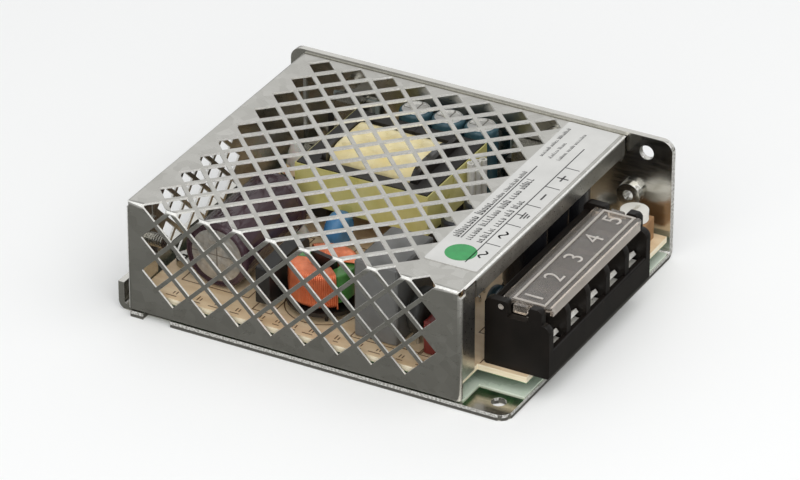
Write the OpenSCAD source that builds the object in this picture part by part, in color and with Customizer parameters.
// Enclosed switching power supply: a folded base bracket, a perforated cover,
// a board with its parts, and a five way terminal block with a hinged clear cover.
// Frame: X across the case, Y from the terminals (-) to the rear (+), Z up.
// The origin is the centre of the base's underside. Sizes are in millimetres.

/* [Case] */
// Length of the base, front to rear
case_l = 99; // [96:0.5:120]
// Width over the base and its side wall
case_w = 82; // [82:0.5:110]
// Height of the side wall
case_h = 30; // [30:0.5:40]
// Sheet of the base bracket
base_t = 1.5; // [1:0.1:2]
// Outer bend radius of the base bracket
base_bend_r = 2.2; // [2:0.1:3]
// Height of the rear flange
rear_flange_h = 7; // [5:0.5:12]
// Radius of the open corners of the bracket
corner_r = 3; // [1:0.5:5]

/* [Mounting] */
// Clearance hole for a mounting screw
mount_hole_d = 3.5; // [3:0.1:4.5]
// Base hole, in from the near edge
base_hole_in = 5; // [4:0.5:6]
// Base hole, in from the front edge
base_hole_back = 4.5; // [3.5:0.5:6]
// Wall hole, in from the front edge
wall_hole_back = 6.5; // [5:0.5:8]
// Wall hole, down from the top of the wall
wall_hole_down = 4; // [3.5:0.5:6]
// Outside of the tapped collar in the wall
collar_d = 5.8; // [4.5:0.1:7]
// Thread hole of the tapped collar
collar_bore_d = 2.5; // [2:0.1:3]
// Collar, in from the front edge
collar_back = 10; // [9:0.5:16]
// Collar, up from the underside of the base
collar_up = 15; // [12:0.5:20]

/* [Cover] */
// Sheet of the cover
cover_t = 0.5; // [0.4:0.1:1]
// Outer bend radius of the cover
cover_bend_r = 1; // [1:0.1:1.4]
// Cover, set back from the front edge of the base
cover_setback = 11.5; // [11:0.5:16]
// Cover, set in from the rear edge of the base
cover_rear_in = 3.4; // [3.2:0.1:8]
// Cover top, below the top of the wall
cover_drop = 0.6; // [0.2:0.1:1.5]
// Depth of the front lip
lip_h = 4.8; // [3:0.1:7]
// Width of the folded return at the near front corner
front_return_w = 6.5; // [4:0.5:9]
// Width of the folded return at the near rear corner
rear_return_w = 10.4; // [9:0.1:12]
// Depth of the flange that lies against the side wall
far_flange_h = 7; // [6.5:0.5:9]
// Diagonal pitch of the punched squares
lattice_pitch = 8.4; // [7.5:0.1:10]
// Web left between the punched squares
lattice_web = 0.95; // [0.7:0.05:1.6]
// Width of the punched field in the rear wall
rear_vent_w = 33; // [20:1:60]

/* [Label] */
// Depth of the label, front to rear
label_depth = 13.2; // [8:0.1:14.5]
// Thickness of the label
label_t = 0.15; // [0.1:0.05:0.3]

/* [Board] */
// Thickness of the board
board_t = 1.6; // [1.2:0.1:2]
// Height of the posts under the board
post_h = 3.3; // [2.5:0.1:5]
// Diameter of the posts
post_d = 5; // [4.5:0.1:6]
// Thickness of the insulation film
film_t = 0.4; // [0.2:0.1:0.8]

/* [Terminals] */
// Number of ways
way_count = 5; // [3:1:5]
// Pitch of the ways
way_pitch = 9.5; // [9:0.1:9.6]
// Thickness of the barriers
barrier_t = 2; // [1.6:0.1:2.2]
// Depth of the block, front to rear
block_depth = 15.8; // [15.6:0.1:17]
// Height of the block above the board
block_h = 16.4; // [16:0.1:17]
// Thickness of the clear cover
clear_t = 0.8; // [0.6:0.1:1]
// Diameter of the hinge pins
hinge_pin_d = 1.4; // [1:0.1:1.6]
// Head of the terminal screws
screw_head_d = 6.2; // [5:0.1:6.4]

/* [Large parts] */
// Bulk capacitor diameter
bulk_d = 16; // [14:0.5:17]
// Bulk capacitor length
bulk_l = 27.5; // [22:0.5:28]
// Choke core, outer diameter
choke_core_od = 14.6; // [13:0.2:15]
// Choke core, inner diameter
choke_core_id = 7.4; // [7:0.2:8]
// Choke core, height
choke_core_h = 7.1; // [6:0.1:9]
// Thickness of the choke windings
choke_wire_build = 1.2; // [0.8:0.1:1.3]
// Turns drawn on each choke winding
choke_turns = 11; // [6:1:14]
// Line filter capacitor, length
x_cap_l = 17.3; // [13:0.1:18]
// Line filter capacitor, thickness
x_cap_t = 10.7; // [8:0.1:11]
// Line filter capacitor, height
x_cap_h = 19.3; // [14:0.1:21]
// Transformer core, width
core_w = 28; // [27:0.2:28.4]
// Transformer core, length
core_l = 33.5; // [32:0.5:35]
// Transformer core, thickness
core_t = 10.6; // [10.2:0.1:12]
// Transformer winding, width
winding_w = 18.4; // [16:0.2:19.6]
// Transformer winding, height
winding_h = 14.6; // [14:0.2:15]
// Output capacitor diameter
out_cap_d = 8; // [6.3:0.1:8.2]
// Output capacitor height
out_cap_h = 19.2; // [12:0.2:21]
// Filter capacitor diameter
filter_cap_d = 10; // [8:0.5:10.5]
// Filter capacitor height
filter_cap_h = 18; // [12:0.5:20]

/* [Hidden] */
$fn = 48;
slit = 0.6;
touch_gap = 0.1;
run_gap = 0.3;
past = 1;

// Base bracket
near_x = -case_w / 2;
far_x = case_w / 2;
front_y = -case_l / 2;
rear_y = case_l / 2;
wall_in_x = far_x - base_t;
base_bend_in = base_bend_r - base_t;
rear_notch_back = 14.5;
rear_notch_l = 7;
rear_notch_depth = 2.2;
flange_inset = 2;
base_rear_y = rear_y - base_bend_r - 2;

// Cover
cover_near_x = near_x + 0.4;
cover_far_x = wall_in_x - touch_gap;
cover_front_y = front_y + cover_setback;
cover_rear_y = rear_y - cover_rear_in;
cover_top_z = case_h - cover_drop;
cover_under_z = cover_top_z - cover_t;
cover_foot_z = base_t + run_gap;
lip_foot_z = cover_top_z - lip_h;
front_return_x = cover_near_x + front_return_w;
rear_return_x = cover_near_x + rear_return_w;
far_flange_z = cover_top_z - far_flange_h;
rear_wall_foot_z = cover_foot_z + 0.8;
relief_d = 1.8;

// Punched squares, counted from the near fold and from the rear edge
half_pitch = lattice_pitch / 2;
hole_side = lattice_pitch / sqrt(2) - lattice_web;
hole_reach = hole_side / sqrt(2);
lattice_rear_y = cover_rear_y - 7.4;
label_r = 0.6;
label_rear_y = cover_front_y + 1.1 + label_depth;
label_near_x = cover_near_x + 9.2;
label_far_x = cover_far_x - cover_bend_r;
wall_hole_end_y = cover_front_y + 4.5;
wall_hole_foot_z = cover_foot_z + 2.5;
top_columns = floor((cover_far_x - cover_bend_r + 0.2 - hole_reach - cover_near_x) / half_pitch);
rear_vent_x = rear_return_x + 6;
wall_rows = floor((cover_top_z - wall_hole_foot_z - hole_reach) / half_pitch);

// Screw ear that stands inside the rear of the cover
ear_w = 6;
ear_h = 19.5;
ear_x = rear_return_x - ear_w - 0.4;
ear_screw_x = ear_x + ear_w / 2;
ear_screw_z = base_t + 15.3;
ear_rear_y = cover_rear_y - cover_t;
screw_d = 3;
screw_hole_d = screw_d + 0.2;
thread_hole_d = screw_d + 0.1;
screw_head = [5.4, 1.9];
cover_screw_l = 5.8;
recess_w = 0.7;

// Countersunk screws through the side wall
wall_screw_y = [cover_front_y + 18, cover_rear_y - 14];
wall_screw_z = far_flange_z + far_flange_h / 2 - 0.4;
wall_screw_x = cover_far_x - cover_t - 1.4;
screw_cone_d = 5.2;
screw_cone_h = 1.1;

// Board
board_z = base_t + post_h;
board_top_z = board_z + board_t;
board_near_x = cover_near_x + cover_t + 0.8;
board_far_x = wall_in_x - 1.2;
board_rear_y = ear_rear_y - base_t - run_gap;
board_notch_y = cover_front_y + cover_t + run_gap;
board_front_y = front_y + 0.3;
tongue_x = near_x + 9.8;
film_edge = 0.2;
post_spots = [
  [near_x + 5, board_notch_y + 4], [near_x + 17, board_rear_y - 3.6],
  [board_far_x - 4, board_rear_y - 3.6], [board_far_x - 4, board_notch_y + 6]
];

// Terminal block
block_x = tongue_x + 1.2;
block_w = way_count * way_pitch + barrier_t;
block_rear_y = cover_front_y - 0.2;
block_front_y = block_rear_y - block_depth;
block_top_z = board_top_z + block_h;
block_wall = 1.6;
deck_z = board_top_z + 4.6;
ledge_z = deck_z + 1.8;
ledge_t = 1.4;
cheek_front_z = block_top_z - 3.4;
cheek_top_z = block_top_z + 0.2;
cheek_ear = [2, 3.2];
barrier_top_z = block_top_z - 1.6;
barrier_r = 4;
hinge_y = block_rear_y - 3.8;
swing_r = 2.9;
plate_z = deck_z;
plate_t = 0.8;
plate_front_y = block_front_y + ledge_t + run_gap;
plate_rear_y = block_rear_y - block_wall - 2.6;
plate_w = way_pitch - barrier_t - 0.6;
clamp_t = 1;
screw_y = block_front_y + 7.6;
clamp_len = 7.2;
clamp_lead = 2.4;
clamp_lead_angle = 42;
screw_head_h = 2.6;

// Clear cover over the terminals
clear_z = block_top_z - 1;
clear_top_z = clear_z + clear_t;
clear_x = block_x + barrier_t + run_gap;
clear_w = block_w - 2 * (barrier_t + run_gap);
clear_rear_y = hinge_y + 0.7;
clear_front_y = block_front_y + 0.9;
clear_corner_r = 1.2;
clear_lip_h = 1.5;
knuckle_r = 1.2;
knuckle_t = 1.2;
hinge_z = clear_top_z - knuckle_r;
rib_w = 0.5;
rib_h = 0.25;
rib_rear_y = hinge_y - 1.6;
rib_front_y = clear_front_y + 1.6;
snap_tab = [1.6, 3.4, 2];
snap_tab_y = hinge_y - 6;

// Line side parts, set one after another from the rear of the board
part_gap = 0.6;
lead_h = 1.6;
lead_step = 2.54;
lead_d = 0.8;
bulk_y = board_rear_y - 6.6 - bulk_d / 2;
bulk_lead_room = 4.2;
bulk_lead_gap = 7.5;
bridge = [18, 3.6, 9];
bridge_x = board_near_x + 5.4;
bridge_y = bulk_y - bulk_d / 2 - 4.3 - bridge[1];
bridge_lead = [0.8, 0.6, 4.8];
choke_od = choke_core_od + 2 * choke_wire_build;
choke_x = board_near_x + 14.2;
choke_y = bridge_y - 0.4 - choke_od / 2;
choke_seat_z = board_top_z + 2.6;
choke_seat_t = 1;
choke_mid_z = choke_seat_z + choke_wire_build + choke_core_h / 2 + touch_gap;
choke_split = -12;
choke_span = 126;
choke_fin_t = 1.2;
choke_pin_at = 5;
core_edge_r = 0.5;
x_cap_x = board_near_x + 5.5;
x_cap_y = choke_y - choke_od / 2 - 3.8 - x_cap_t;
x_cap_foot = 0.3;
therm_d = 11;
therm_t = 4;
therm_y = x_cap_y - 2 * part_gap - therm_t;
therm_x = board_near_x + 12;
fuse = [9, 4, 8];
fuse_x = board_near_x + 6;
fuse_y = therm_y - 0.8 - fuse[1];
bypass_d = 7;
bypass_t = 3;
bypass_x = board_near_x + 24;
bypass_y = board_notch_y + 2.2;
y_cap_d = 9;
y_cap_t = 4.5;
y_cap_y = choke_y + 6;
disc_lead_gap = 5;

// Output side parts, set from the side wall inwards
out_cap_x = wall_in_x - 1.6 - out_cap_d / 2;
out_cap_step = out_cap_d + 0.5;
core_far_x = out_cap_x - out_cap_d / 2 - 0.4;
core_x = core_far_x - core_w / 2;
core_near_x = core_x - core_w / 2;
core_y = bulk_y - bulk_d / 2 - 11.5;
core_headroom = 2.9;
core_z = cover_under_z - core_headroom - winding_h / 2;
out_cap_y = core_y - 5;
leg_w = 3.3;
centre_leg_d = 9.9;
core_back = 4.2;
core_part = 0.05;
window_l = core_l - 2 * core_back;
flange_t = 1.1;
flange_w = core_w - 2 * leg_w - 1;
bobbin_wall = 0.9;
bobbin_gap = 0.2;
bobbin_l = window_l - 2 * bobbin_gap;
bobbin_in_d = centre_leg_d + 2 * bobbin_gap;
bobbin_out_d = bobbin_in_d + 2 * bobbin_wall;
bobbin_foot_z = board_top_z + 2;
bobbin_pin_step = 4.2;
tape_t = 0.25;
tape_w = core_t - 0.6;
sleeve_d = 1.8;
sleeve_bore_d = 1;
sleeve_step = 3;
sleeve_x = core_x + 4;
sleeve_y = core_y - core_l / 2 - 1.6;
bulk_x = core_near_x - bulk_lead_room - bulk_l;
y_cap_x = core_near_x - tape_t - part_gap - y_cap_d / 2;
filter_far_x = board_far_x - 10.3;
filter_y = board_notch_y + part_gap + filter_cap_d / 2;
filter_step = filter_cap_d + 0.5;
small_cap_d = 6.3;
small_cap_h = 11.5;
small_cap_y = core_y - core_l / 2 - 5;
small_cap_x = [core_x - 10, core_x - 1];
package = [10, 4.4, 8.8];
tab_h = 2.8;
tab_t = 1.3;
pad_t = 0.4;
clip_t = 0.8;
clip_w = 6;
clip_z = far_flange_z - run_gap - clip_t;
package_top_z = clip_z - touch_gap;
package_body_z = package_top_z - tab_h;
package_z = package_body_z - package[2];
rectifier_y = core_y - core_l / 2 - 7.5;
transistor_y = post_spots[2][1] - (screw_head[0] + package[0]) / 2 - part_gap;
chip_half_w = 3.2;
chip_h = 3.2;
chip_lift = 0.5;
chip_pin = [0.6, 0.4];
chip_pin_out = 3.6;
controller = [core_x - 4, core_y + core_l / 2 + 9];
opto = [core_x + 2, filter_y + filter_cap_d / 2 + part_gap + chip_pin_out + chip_pin[1] / 2];
trim_y = front_y + 6.2;
trim_x = wall_in_x - 6.2;
trim_d = 7;
trim_h = 8;
rotor_h = 2.3;

// Draws a profile of Y and Z, and carries it along X from x0
module along_x(x0, len) translate([x0, 0, 0]) rotate([90, 0, 90]) linear_extrude(len) children();

// Draws a profile of X and Z, and carries it along Y from y0
module along_y(y0, len) translate([0, y0 + len, 0]) rotate([90, 0, 0]) linear_extrude(len) children();

// What a rounding of radius r takes off a square corner at the origin
module corner_cut(r) difference() {
  translate([-r, -r]) square(2 * r);
  translate([r, r]) circle(r);
}

// A rectangle between two corners, each of its own corners rounded by r: low left, then anticlockwise
module outline(a, b, r = [0, 0, 0, 0]) difference() {
  translate(a) square(b - a);
  if (r[0] > 0) translate(a) corner_cut(r[0]);
  if (r[1] > 0) translate([b[0], a[1]]) mirror([1, 0]) corner_cut(r[1]);
  if (r[2] > 0) translate(b) rotate(180) corner_cut(r[2]);
  if (r[3] > 0) translate([a[0], b[1]]) mirror([0, 1]) corner_cut(r[3]);
}

module block(a, b) translate(a) cube(b - a);

// A block with its upright and upper edges rounded by r
module soft_block(a, b, r) intersection() {
  translate([0, 0, a[2]]) linear_extrude(b[2] - a[2]) outline([a[0], a[1]], [b[0], b[1]], [r, r, r, r]);
  along_y(a[1], b[1] - a[1]) outline([a[0], a[2]], [b[0], b[2]], [0, 0, r, r]);
  along_x(a[0], b[0] - a[0]) outline([a[1], a[2]], [b[1], b[2]], [0, 0, r, r]);
}

module rod_x(x0, len, y, z, d) translate([x0, y, z]) rotate([0, 90, 0]) cylinder(d = d, h = len);

module rod_y(y0, len, x, z, d) translate([x, y0, z]) rotate([-90, 0, 0]) cylinder(d = d, h = len);

// Base, side wall and rear flange, folded from one sheet
module base_bracket() color("#b9b6ae") difference() {
  union() {
    intersection() {
      along_y(front_y, case_l) difference() {
        outline([near_x, 0], [far_x, case_h], [0, base_bend_r, 0, 0]);
        outline([near_x - past, base_t], [wall_in_x, case_h + past], [0, base_bend_in, 0, 0]);
      }
      along_x(near_x, case_w) outline([front_y, 0], [rear_y, case_h], [0, 0, corner_r, corner_r]);
      linear_extrude(case_h) base_plan();
    }
    along_x(near_x + flange_inset, case_w - flange_inset - base_bend_r - slit) rear_fold();
    block([ear_x, ear_rear_y - base_t, 0], [ear_x + ear_w, ear_rear_y, base_t + ear_h]);
    rod_x(wall_in_x - base_t - 0.5, base_t + 1, front_y + collar_back, collar_up, collar_d);
  }
  base_hole();
  rod_x(wall_in_x - past, base_t + 2 * past, front_y + wall_hole_back, case_h - wall_hole_down,
    mount_hole_d);
  rod_x(wall_in_x - 2 * base_t, 3 * base_t + past, front_y + collar_back, collar_up, collar_bore_d);
  rod_y(ear_rear_y - 2 * base_t, 3 * base_t, ear_screw_x, ear_screw_z, thread_hole_d);
  for (y = wall_screw_y) wall_screw_hole(y);
}

module base_hole() translate([near_x + base_hole_in, front_y + base_hole_back, -past])
  cylinder(d = mount_hole_d, h = base_t + 2 * past);

// Plan of the base with its near notch, the window that the ear was bent from, and the rear corner relief
module base_plan() difference() {
  outline([near_x, front_y], [far_x, rear_y], [corner_r, 0, 0, 0]);
  translate([near_x - past, base_rear_y]) square([case_w + past - base_bend_r - slit / 2, rear_y]);
  translate([near_x - past, rear_y - rear_notch_back]) square([rear_notch_depth + past, rear_notch_l]);
  translate([ear_x - slit / 2, ear_rear_y - base_t - ear_h]) square([ear_w + slit, ear_h]);
}

module rear_fold() difference() {
  outline([base_rear_y - 0.01, 0], [rear_y, rear_flange_h], [0, base_bend_r, 0, 0]);
  outline([base_rear_y - past, base_t], [rear_y - base_t, rear_flange_h + past], [0, base_bend_in, 0, 0]);
}

module wall_screw_hole(y) {
  rod_x(wall_in_x - past, base_t + 2 * past, y, wall_screw_z, screw_hole_d);
  translate([far_x - screw_cone_h, y, wall_screw_z]) rotate([0, 90, 0])
    cylinder(d1 = screw_hole_d, d2 = screw_cone_d + 0.2, h = screw_cone_h);
}

// A box with the cover's folds rounded, drawn in by the sheet for its inside
module folded_box(inset, foot_z) {
  r = cover_bend_r - inset;
  a = [cover_near_x + inset, cover_front_y + inset, foot_z];
  b = [cover_far_x - inset, cover_rear_y - inset, cover_top_z - inset];
  intersection() {
    translate([0, 0, a[2]]) linear_extrude(b[2] - a[2]) outline([a[0], a[1]], [b[0], b[1]], [r, 0, 0, r]);
    along_y(a[1], b[1] - a[1]) outline([a[0], a[2]], [b[0], b[2]], [0, 0, r, r]);
    along_x(a[0], b[0] - a[0]) outline([a[1], a[2]], [b[1], b[2]], [0, 0, r, r]);
  }
}

// Cover, folded from one punched sheet
module cover() color("#c0bfbb") difference() {
  folded_box(0, cover_foot_z);
  folded_box(cover_t, cover_foot_z - past);
  front_cuts();
  rear_cuts();
  far_cuts();
  top_holes();
  near_wall_holes();
  rear_wall_holes();
  rod_y(cover_rear_y - 2 * cover_t, 3 * cover_t, ear_screw_x, ear_screw_z, screw_hole_d);
  for (y = wall_screw_y) rod_x(cover_far_x - 2 * cover_t, 3 * cover_t, y, wall_screw_z, thread_hole_d);
}

module front_cuts() {
  y0 = cover_front_y - past;
  y1 = cover_front_y + cover_bend_r;
  block([front_return_x, y0, 0], [cover_far_x + past, y1, lip_foot_z]);
  block([front_return_x, y0, 0], [front_return_x + slit, y1, cover_under_z]);
  block([cover_near_x + cover_bend_r, y0, 0], [front_return_x + past, y1, board_top_z + run_gap]);
  block([cover_near_x + cover_bend_r, y0, cover_under_z - slit / 2],
    [front_return_x + slit, y1, cover_under_z]);
  relief(cover_front_y);
}

module rear_cuts() {
  y0 = cover_rear_y - cover_bend_r;
  y1 = cover_rear_y + past;
  block([rear_return_x, y0, 0], [rear_return_x + slit, y1, cover_under_z]);
  block([rear_return_x, y0, 0], [cover_far_x + past, y1, rear_wall_foot_z]);
  block([cover_near_x + cover_bend_r, y0, cover_under_z - slit / 2],
    [rear_return_x + slit, y1, cover_under_z]);
  relief(cover_rear_y);
}

// The small round relief where three folds meet
module relief(y) translate([cover_near_x + 0.3, y, cover_top_z - cover_bend_r])
  rotate([0, 90, 0]) cylinder(d = relief_d, h = 2 * relief_d, center = true);

module far_cuts() {
  x0 = cover_far_x - cover_bend_r;
  block([x0, cover_front_y - past, 0], [cover_far_x + past, cover_rear_y + past, far_flange_z]);
  for (y = [cover_front_y, cover_rear_y])
    block([x0, y - cover_bend_r, 0], [cover_far_x + past, y + cover_bend_r, cover_under_z]);
}

module diamond() rotate(45) square(hole_side, center = true);

// Rear to front places of the squares in row or column k, down to end_y
function run_of(k, end_y) = let (start = lattice_rear_y - (k % 2) * half_pitch)
  [for (y = [start : -lattice_pitch : end_y + hole_reach]) y];

module top_cut() translate([0, 0, cover_under_z - past]) linear_extrude(cover_t + 2 * past) children();

module near_wall_cut() along_x(cover_near_x - past, cover_t + 2 * past) children();

module top_holes() {
  top_cut() for (k = [1 : top_columns], y = run_of(k, label_rear_y))
    translate([cover_near_x + k * half_pitch, y]) diamond();
  intersection() {
    top_cut() for (y = run_of(0, wall_hole_end_y)) translate([cover_near_x, y]) diamond();
    fold_side(0);
  }
}

module near_wall_holes() {
  near_wall_cut() for (k = [1 : wall_rows], y = run_of(k, wall_hole_end_y))
    translate([y, cover_top_z - k * half_pitch]) diamond();
  intersection() {
    near_wall_cut() for (y = run_of(0, wall_hole_end_y)) translate([y, cover_top_z]) diamond();
    fold_side(-1);
  }
}

// Squares that lie on the near fold are cut from each side as far as its mitre: 0 is the top, -1 the wall
module fold_side(s) along_y(cover_front_y, cover_rear_y - cover_front_y)
  translate([cover_near_x, cover_top_z]) rotate(-45)
  translate([-2 * lattice_pitch, s * 4 * lattice_pitch]) square(4 * lattice_pitch);

module rear_wall_holes() along_y(cover_rear_y - cover_t - past, cover_t + 2 * past)
  for (k = [1 : wall_rows], x = [(k % 2) * half_pitch : lattice_pitch : rear_vent_w])
    translate([rear_vent_x + x, cover_top_z - k * half_pitch]) diamond();

// Pan head screw that holds the cover to the ear
module cover_screw() color("#8f8d88") union() {
  rod_y(cover_rear_y - cover_screw_l, cover_screw_l, ear_screw_x, ear_screw_z, screw_d);
  difference() {
    rod_y(cover_rear_y, screw_head[1], ear_screw_x, ear_screw_z, screw_head[0]);
    for (a = [0, 90]) translate([ear_screw_x, cover_rear_y + screw_head[1], ear_screw_z]) rotate([0, a, 0])
      cube([screw_d, 2 * screw_head[1] - 2.2, recess_w], center = true);
  }
}

// Countersunk screws that hold the cover's flange to the side wall
module wall_screws() color("#8f8d88") for (y = wall_screw_y) difference() {
  union() {
    rod_x(wall_screw_x, far_x - screw_cone_h - wall_screw_x, y, wall_screw_z, screw_d);
    translate([far_x - screw_cone_h, y, wall_screw_z]) rotate([0, 90, 0])
      cylinder(d1 = screw_d, d2 = screw_cone_d, h = screw_cone_h);
  }
  for (a = [0, 90]) translate([far_x, y, wall_screw_z]) rotate([a, 0, 0])
    cube([1.4, screw_cone_d / 2, recess_w], center = true);
}

// Printed label on the cover's plain front strip
module label() color("#dededb") translate([0, 0, cover_top_z]) linear_extrude(label_t)
  outline([label_near_x, label_rear_y - label_depth], [label_far_x, label_rear_y - 0.2],
    [label_r, label_r, label_r, label_r]);

module board_plan(grow, notch_y) {
  translate([board_near_x - grow, notch_y])
    square([board_far_x - board_near_x + 2 * grow, board_rear_y - notch_y]);
  translate([tongue_x - 4 * grow, board_front_y])
    square([board_far_x + 5 * grow - tongue_x, notch_y - board_front_y + 0.01]);
}

module board() color("#d9be9a") translate([0, 0, board_z]) linear_extrude(board_t) difference() {
  board_plan(0, board_notch_y);
  for (p = post_spots) translate(p) circle(d = screw_hole_d);
}

// Clear film that keeps the solder side off the metal base
module insulation_film() color("#cfe0d0") translate([0, 0, base_t]) linear_extrude(film_t) difference() {
  board_plan(film_edge, board_notch_y - 0.9);
  for (p = post_spots) translate(p) circle(d = post_d + 0.4);
}

module board_posts() color("#a9a7a0") for (p = post_spots) translate([p[0], p[1], base_t]) difference() {
  cylinder(d = post_d, h = post_h);
  translate([0, 0, -past]) cylinder(d = thread_hole_d, h = post_h + 2 * past);
}

module board_screws() color("#b5b3ac") for (p = post_spots) translate([p[0], p[1], 0]) {
  translate([0, 0, base_t + 0.6]) cylinder(d = screw_d, h = board_top_z - base_t - 0.6);
  translate([0, 0, board_top_z]) difference() {
    cylinder(d = screw_head[0], h = screw_head[1]);
    for (a = [0, 90]) translate([0, 0, screw_head[1]]) rotate(a)
      cube([screw_d, recess_w, 1.6], center = true);
  }
}

// Moulded terminal block: deck, rear wall, front ledge, barriers and two cheeks
module terminal_block() color("#15110f") difference() {
  union() {
    along_x(block_x, block_w) body_profile();
    for (i = [1 : way_count - 1]) along_x(block_x + i * way_pitch, barrier_t) barrier_profile();
    for (x = [block_x, block_x + block_w - barrier_t]) along_x(x, barrier_t) cheek_profile();
  }
  for (i = [0 : way_count - 1]) plate_leg(i, 0.15);
}

module body_profile() {
  outline([block_front_y, board_top_z], [block_rear_y, deck_z], [0.6, 0.6, 0, 0]);
  outline([block_rear_y - block_wall, deck_z - past], [block_rear_y, barrier_top_z], [0, 0, 0.6, 0]);
  outline([block_front_y, deck_z - past], [block_front_y + ledge_t, ledge_z], [0, 0, 0, 0.5]);
}

// The swing of the clear cover's rear edge is scooped out of the barriers
module barrier_profile() difference() {
  outline([block_front_y + 0.6, deck_z - past], [block_rear_y - past, barrier_top_z], [0, 0, 0, barrier_r]);
  translate([hinge_y, hinge_z]) circle(swing_r);
}

module cheek_profile() difference() {
  union() {
    outline([block_front_y, board_top_z], [block_rear_y, cheek_front_z], [0.6, 1.2, 0, 2]);
    outline([hinge_y - 1.7, cheek_front_z - past], [block_rear_y, cheek_top_z], [0, 0, 1.4, 0.6]);
    outline([block_front_y + cheek_ear[0], cheek_front_z - past],
      [block_front_y + cheek_ear[0] + cheek_ear[1], cheek_top_z], [0, 0, 0.6, 1.2]);
  }
  translate([hinge_y, hinge_z]) circle(d = hinge_pin_d + 0.3);
}

function way_x(i) = block_x + barrier_t / 2 + (i + 0.5) * way_pitch;

// The leg of a terminal plate goes down through the block to the board
module plate_leg(i, gap) block(
  [way_x(i) - 1.5 - gap, plate_rear_y - plate_t - gap, board_top_z - (gap > 0 ? past : 0)],
  [way_x(i) + 1.5 + gap, plate_rear_y + gap, plate_z + (gap > 0 ? past : plate_t)]);

module terminal_plates() color("#c8c6c0") for (i = [0 : way_count - 1]) union() {
  block([way_x(i) - plate_w / 2, plate_front_y, plate_z],
    [way_x(i) + plate_w / 2, plate_rear_y, plate_z + plate_t]);
  plate_leg(i, 0);
}

// Clamp washers with upturned ends that lead the wire in
module terminal_clamps() color("#d2d0ca") for (i = [0 : way_count - 1]) difference() {
  along_x(way_x(i) - plate_w / 2 + 0.2, plate_w - 0.4) clamp_profile();
  translate([way_x(i), screw_y, plate_z]) cylinder(d = screw_hole_d + 0.4, h = 10);
}

module clamp_profile() translate([screw_y, plate_z + plate_t]) {
  translate([-clamp_len / 2, 0]) square([clamp_len, clamp_t]);
  translate([-clamp_len / 2, 0]) rotate(180 - clamp_lead_angle) mirror([0, 1]) square([clamp_lead, clamp_t]);
}

module terminal_screws() color("#d8d6d0") for (i = [0 : way_count - 1]) translate([way_x(i), screw_y, 0]) {
  translate([0, 0, plate_z + plate_t]) cylinder(d = screw_d, h = clamp_t);
  translate([0, 0, plate_z + plate_t + clamp_t]) difference() {
    cylinder(d = screw_head_d, h = screw_head_h);
    for (a = [0, 90]) translate([0, 0, screw_head_h]) rotate(a) cube([4.2, 0.9, 2], center = true);
  }
}

// Clear cover that swings up on two pins in the cheeks: panel, front lip, raised frame and two ends
module terminal_cover() color("#d8dcdc", 0.45) union() {
  translate([0, 0, clear_z]) linear_extrude(clear_t) outline([clear_x, clear_front_y],
    [clear_x + clear_w, clear_rear_y], [clear_corner_r, clear_corner_r, 0, 0]);
  along_x(clear_x + clear_corner_r, clear_w - 2 * clear_corner_r)
    outline([clear_front_y, clear_z - clear_lip_h], [clear_front_y + clear_t, clear_top_z], [0, 0, 0, 0.5]);
  translate([0, 0, clear_top_z - 0.01]) linear_extrude(rib_h + 0.01) difference() {
    clear_frame(0);
    clear_frame(rib_w);
  }
  for (s = [0, 1]) translate([s * (2 * block_x + block_w), 0, 0]) mirror([s, 0, 0]) clear_end();
}

module clear_frame(inset) outline([clear_x + rib_w + inset, rib_front_y + inset],
  [clear_x + clear_w - rib_w - inset, rib_rear_y - inset]);

// One end: the knuckle, its pin, and the snap tab in the gap of the cheek
module clear_end() {
  along_x(clear_x, knuckle_t) union() {
    translate([hinge_y, hinge_z]) circle(knuckle_r);
    translate([hinge_y - knuckle_r, hinge_z]) square([2 * knuckle_r - 0.5, clear_top_z - hinge_z]);
  }
  rod_x(block_x + run_gap, barrier_t + 0.01, hinge_y, hinge_z, hinge_pin_d);
  along_x(clear_x + 0.3 - snap_tab[0], snap_tab[0]) outline([snap_tab_y, clear_top_z - 0.2 - snap_tab[2]],
    [snap_tab_y + snap_tab[1], clear_top_z - 0.2], [0.5, 0.5, 0.3, 0.3]);
}

// A can along Z from its seat at 0: rolled groove, rounded rims, and an end face sunk inside the sleeve
module can(d, h, groove_z) rotate_extrude() difference() {
  outline([0, 0], [d / 2, h], [0, 0.6, 0.9, 0]);
  translate([d / 2 + 0.5, groove_z]) circle(1);
  translate([-past, h - 0.4]) square([d / 2 - 0.9 + past, past]);
  translate([-past, -past + 0.3]) square([d / 2 - 1.2 + past, past]);
}

// Bulk capacitor, lying with its vented end to the near wall
module bulk_capacitor() color("#4b3a42") {
  z = board_top_z + bulk_d / 2 + touch_gap;
  x1 = bulk_x + bulk_l;
  translate([x1, bulk_y, z]) rotate([0, -90, 0]) can(bulk_d, bulk_l, 2.4);
  for (s = [-1, 1]) {
    rod_x(x1 - 0.4, 1.6, bulk_y + s * bulk_lead_gap / 2, z, lead_d);
    translate([x1 + 0.9, bulk_y + s * bulk_lead_gap / 2, board_top_z])
      cylinder(d = lead_d, h = z - board_top_z + lead_d / 2);
  }
}

module bridge_rectifier() color("#1d1b1a") {
  z0 = board_top_z + lead_h;
  along_y(bridge_y, bridge[1])
    outline([bridge_x, z0], [bridge_x + bridge[0], z0 + bridge[2]], [0.3, 0.3, 2, 0.3]);
  for (i = [0 : 3]) {
    x = bridge_x + bridge[0] / 2 + (i - 1.5) * bridge_lead[2];
    y = bridge_y + bridge[1] / 2;
    block([x - bridge_lead[0] / 2, y - bridge_lead[1] / 2, board_top_z],
      [x + bridge_lead[0] / 2, y + bridge_lead[1] / 2, z0 + past]);
  }
}

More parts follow.
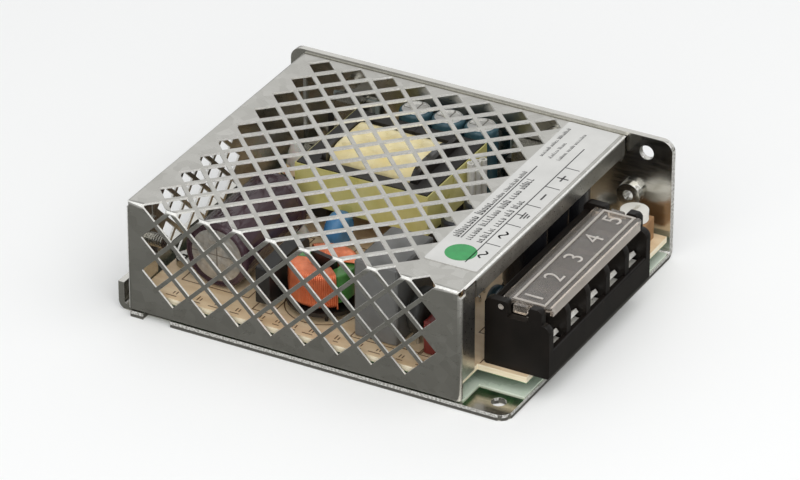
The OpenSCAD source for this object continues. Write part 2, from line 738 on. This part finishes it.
// Moulded seat of the choke, with the fin that keeps the two windings apart
module choke_base() color("#161514") translate([choke_x, choke_y, 0]) {
  fin_l = choke_core_id - 0.6;
  fin_h = choke_core_h + 2 * choke_wire_build + 0.8;
  translate([0, 0, choke_seat_z - choke_seat_t]) cylinder(d = choke_od, h = choke_seat_t);
  rotate(choke_split) {
    translate([-choke_fin_t / 2, -fin_l / 2, choke_seat_z - 0.1]) cube([choke_fin_t, fin_l, fin_h]);
    for (x = [-1, 1], y = [-1, 1]) translate([x * choke_pin_at, y * choke_pin_at, board_top_z])
      cylinder(d = lead_d, h = choke_seat_z - board_top_z - choke_seat_t / 2);
  }
}

module core_section(grow) {
  r = core_edge_r + 0.4 * grow;
  outline([choke_core_id / 2 - grow, -choke_core_h / 2 - grow],
    [choke_core_od / 2 + grow, choke_core_h / 2 + grow], [r, r, r, r]);
}

module choke_core() color("#56a054") translate([choke_x, choke_y, choke_mid_z])
  rotate_extrude() core_section(0);

// Each turn is a full slice and a lower slice beside it
module choke_winding(start) color("#d66742") translate([choke_x, choke_y, choke_mid_z]) difference() {
  step = choke_span / choke_turns;
  union() for (i = [0 : choke_turns - 1]) rotate(start + i * step) {
    rotate_extrude(angle = step * 0.72) core_section(choke_wire_build);
    if (i < choke_turns - 1) rotate_extrude(angle = step + 1) core_section(choke_wire_build - 0.3);
  }
  rotate_extrude() core_section(0.05);
}

module choke_winding_1() choke_winding(choke_split + 180 - choke_span / 2);

module choke_winding_2() choke_winding(choke_split - choke_span / 2);

// Line filter capacitor: a moulded case on two low feet
module line_capacitor() color("#6e6e6c") {
  soft_block([x_cap_x, x_cap_y, board_top_z + x_cap_foot],
    [x_cap_x + x_cap_l, x_cap_y + x_cap_t, board_top_z + x_cap_h], 0.6);
  for (x = [0.8, x_cap_l - 2.3]) block([x_cap_x + x, x_cap_y + 1, board_top_z],
    [x_cap_x + x + 1.5, x_cap_y + x_cap_t - 1, board_top_z + x_cap_foot + 0.1]);
}

// A dipped disc that stands on two leads, its axis along Y
module dipped_disc(x, y, d, t, stand = lead_h) {
  z = board_top_z + stand + d / 2;
  translate([x, y + t / 2, z]) rotate([90, 0, 0]) rotate_extrude()
    outline([0, -t / 2], [d / 2, t / 2], [0, t * 0.42, t * 0.42, 0]);
  for (s = [-1, 1]) translate([x + s * disc_lead_gap / 2, y + t / 2, board_top_z])
    cylinder(d = lead_d, h = z - board_top_z - d * 0.3);
}

module inrush_thermistor() color("#23231f") dipped_disc(therm_x, therm_y, therm_d, therm_t);

module suppression_capacitor() color("#3c82be") dipped_disc(y_cap_x, y_cap_y, y_cap_d, y_cap_t);

module bypass_capacitor() color("#27415c") dipped_disc(bypass_x, bypass_y, bypass_d, bypass_t, 2 * lead_h);

module fuse() color("#8e2a22") {
  z0 = board_top_z + 0.4;
  soft_block([fuse_x, fuse_y, z0], [fuse_x + fuse[0], fuse_y + fuse[1], z0 + fuse[2]], 1);
  for (x = [2, fuse[0] - 2]) translate([fuse_x + x, fuse_y + fuse[1] / 2, board_top_z])
    cylinder(d = lead_d, h = z0 - board_top_z + 0.2);
}

// One half of the core, its legs pointing along +Y from the parting plane at y = 0
module core_half() translate([core_x, core_y, core_z]) {
  len = core_l / 2 - core_part;
  leg_l = len - core_back;
  translate([-core_w / 2, leg_l, -core_t / 2]) cube([core_w, core_back, core_t]);
  for (s = [0, 1]) mirror([s, 0, 0]) translate([core_w / 2 - leg_w, core_part, -core_t / 2])
    cube([leg_w, leg_l, core_t]);
  rotate([-90, 0, 0]) translate([0, 0, core_part]) cylinder(d = centre_leg_d, h = leg_l);
}

module transformer_core_rear() color("#3a3836") core_half();

module transformer_core_front() color("#3a3836") translate([0, 2 * core_y, 0]) mirror([0, 1, 0]) core_half();

// Bobbin: tube, two flanges, and a rail of pins below each end of the core
module transformer_bobbin() color("#24201d") difference() {
  union() {
    rod_y(core_y - bobbin_l / 2, bobbin_l, core_x, core_z, bobbin_out_d);
    for (s = [0, 1]) translate([0, s * 2 * core_y, 0]) mirror([0, s, 0]) bobbin_end();
  }
  rod_y(core_y - bobbin_l, 2 * bobbin_l, core_x, core_z, bobbin_in_d);
}

module bobbin_end() {
  x0 = core_x - flange_w / 2;
  x1 = core_x + flange_w / 2;
  y1 = core_y + bobbin_l / 2;
  rail_z = core_z - core_t / 2 - run_gap;
  along_y(y1 - flange_t, flange_t)
    outline([x0, bobbin_foot_z], [x1, core_z + winding_h / 2 + 0.4], [0, 0, 2, 2]);
  block([x0, y1 - flange_t, bobbin_foot_z], [x1, core_y + core_l / 2, rail_z]);
  for (i = [-2 : 2]) translate([core_x + i * bobbin_pin_step, y1 + core_back / 2, board_top_z])
    cylinder(d = lead_d, h = bobbin_foot_z - board_top_z + past);
}

module transformer_winding() color("#eada96") {
  len = bobbin_l - 2 * flange_t - 0.4;
  half = [winding_w / 2, winding_h / 2];
  r = winding_h * 0.3;
  along_y(core_y - len / 2, len) translate([core_x, core_z]) difference() {
    outline(-half, half, [r, r, r, r]);
    circle(d = bobbin_out_d + 0.1);
  }
}

// Band of tape that holds the two halves of the core together
module transformer_tape() color("#b4af5a") translate([core_x, core_y, core_z - tape_w / 2])
  linear_extrude(tape_w) difference() {
    inner = [core_w / 2 + 0.05, core_l / 2 + 0.05];
    outer = inner + [tape_t, tape_t];
    outline(-outer, outer);
    outline(-inner, inner);
  }

// Sleeved leads that stand in front of the transformer
module lead_sleeves() color("#e6e4de")
  for (i = [0 : 2]) translate([sleeve_x + i * sleeve_step, sleeve_y, board_top_z]) difference() {
    cylinder(d = sleeve_d, h = core_z - board_top_z + core_t / 2 - i);
    translate([0, 0, -past]) cylinder(d = sleeve_bore_d, h = core_z);
  }

module upright_can(x, y, d, h, tint) color(tint) translate([x, y, board_top_z]) can(d, h, 2);

module output_capacitor(i)
  upright_can(out_cap_x, out_cap_y + (1 - i) * out_cap_step, out_cap_d, out_cap_h, "#2d6e8c");

module output_capacitor_1() output_capacitor(0);

module output_capacitor_2() output_capacitor(1);

module output_capacitor_3() output_capacitor(2);

module small_capacitor_1() upright_can(small_cap_x[0], small_cap_y, small_cap_d, small_cap_h, "#2b2d33");

module small_capacitor_2() upright_can(small_cap_x[1], small_cap_y - 1, small_cap_d, small_cap_h, "#2b2d33");

// A row of capacitors behind the terminal block, counted from the side wall
module filter_capacitor(i) {
  x = filter_far_x - filter_cap_d / 2 - i * filter_step;
  upright_can(x, filter_y, filter_cap_d, filter_cap_h, "#1a1a1c");
}

module filter_capacitor_1() filter_capacitor(0);

module filter_capacitor_2() filter_capacitor(1);

module filter_capacitor_3() filter_capacitor(2);

// A power package stands against the side wall: pad, body with its tab and leads, and a spring clip
module power_package(y) {
  x1 = wall_in_x - pad_t;
  y0 = y - package[0] / 2;
  y1 = y + package[0] / 2;
  along_x(x1 - package[1], package[1])
    outline([y0, package_z], [y1, package_body_z], [0.2, 0.2, 0.2, 0.2]);
  difference() {
    block([x1 - tab_t, y0, package_body_z - past], [x1, y1, package_top_z]);
    rod_x(x1 - 2 * tab_t, 3 * tab_t, y, package_body_z + tab_h / 2, tab_h * 0.7);
  }
  for (i = [-1 : 1]) block([x1 - 2.6, y + i * lead_step - lead_d / 2, board_top_z],
    [x1 - 2.1, y + i * lead_step + lead_d / 2, package_z + past]);
}

module package_pad(y) block([wall_in_x - pad_t, y - package[0] / 2 - 1, package_z - part_gap],
  [wall_in_x, y + package[0] / 2 + 1, package_top_z]);

// Spring strip that presses the package to the wall, bent over its top to a foot on the wall
module package_clip(y) {
  x0 = wall_in_x - pad_t - package[1] - clip_t;
  z0 = package_z + 2;
  along_y(y - clip_w / 2, clip_w) {
    translate([x0, z0]) square([clip_t, clip_z - z0 + clip_t]);
    translate([x0, clip_z]) square([wall_in_x - x0, clip_t]);
  }
}

module output_rectifier() color("#1f1e1d") power_package(rectifier_y);

module rectifier_pad() color("#9aa3a0") package_pad(rectifier_y);

module rectifier_clip() color("#a6a49d") package_clip(rectifier_y);

module switch_transistor() color("#1f1e1d") power_package(transistor_y);

module transistor_pad() color("#9aa3a0") package_pad(transistor_y);

module transistor_clip() color("#a6a49d") package_clip(transistor_y);

// Dual in line chip with n pins a side
module chip(spot, n) translate([spot[0], spot[1], board_top_z]) {
  half = [n * lead_step / 2 - 0.2, chip_half_w];
  translate([0, 0, chip_lift]) linear_extrude(chip_h) difference() {
    outline(-half, half);
    translate([-half[0], 0]) circle(0.7);
  }
  for (i = [0 : n - 1], s = [0, 1]) mirror([0, s, 0])
    translate([(i - (n - 1) / 2) * lead_step - chip_pin[0] / 2, chip_pin_out - chip_pin[1] / 2, 0]) {
      cube([chip_pin[0], chip_pin[1], chip_lift + chip_h / 2]);
      translate([0, chip_half_w - chip_pin_out, chip_lift + chip_h / 2 - chip_pin[1]])
        cube([chip_pin[0], chip_pin_out - chip_half_w + chip_pin[1], chip_pin[1]]);
    }
}

module controller_chip() color("#222120") chip(controller, 4);

module optocoupler() color("#e3e0d6") chip(opto, 2);

module trimmer_body() color("#2a2a2c") soft_block([trim_x - trim_d / 2, trim_y - trim_d / 2, board_top_z],
  [trim_x + trim_d / 2, trim_y + trim_d / 2, board_top_z + trim_h - rotor_h - touch_gap], 0.6);

// White slotted rotor that turns on the trimmer's body
module trimmer_rotor() color("#eceae4")
  translate([trim_x, trim_y, board_top_z + trim_h - rotor_h]) difference() {
    cylinder(d = trim_d - 0.4, h = rotor_h);
    translate([0, 0, rotor_h]) cube([4.6, 0.9, 2], center = true);
  }

base_bracket();
cover();
cover_screw();
wall_screws();
label();
board();
insulation_film();
board_posts();
board_screws();
terminal_block();
terminal_plates();
terminal_clamps();
terminal_screws();
terminal_cover();
bulk_capacitor();
bridge_rectifier();
choke_base();
choke_core();
choke_winding_1();
choke_winding_2();
line_capacitor();
inrush_thermistor();
fuse();
suppression_capacitor();
transformer_core_front();
transformer_core_rear();
transformer_bobbin();
transformer_winding();
transformer_tape();
lead_sleeves();
output_capacitor_1();
output_capacitor_2();
output_capacitor_3();
small_capacitor_1();
small_capacitor_2();
filter_capacitor_1();
filter_capacitor_2();
filter_capacitor_3();
bypass_capacitor();
output_rectifier();
rectifier_pad();
rectifier_clip();
switch_transistor();
transistor_pad();
transistor_clip();
controller_chip();
optocoupler();
trimmer_body();
trimmer_rotor();
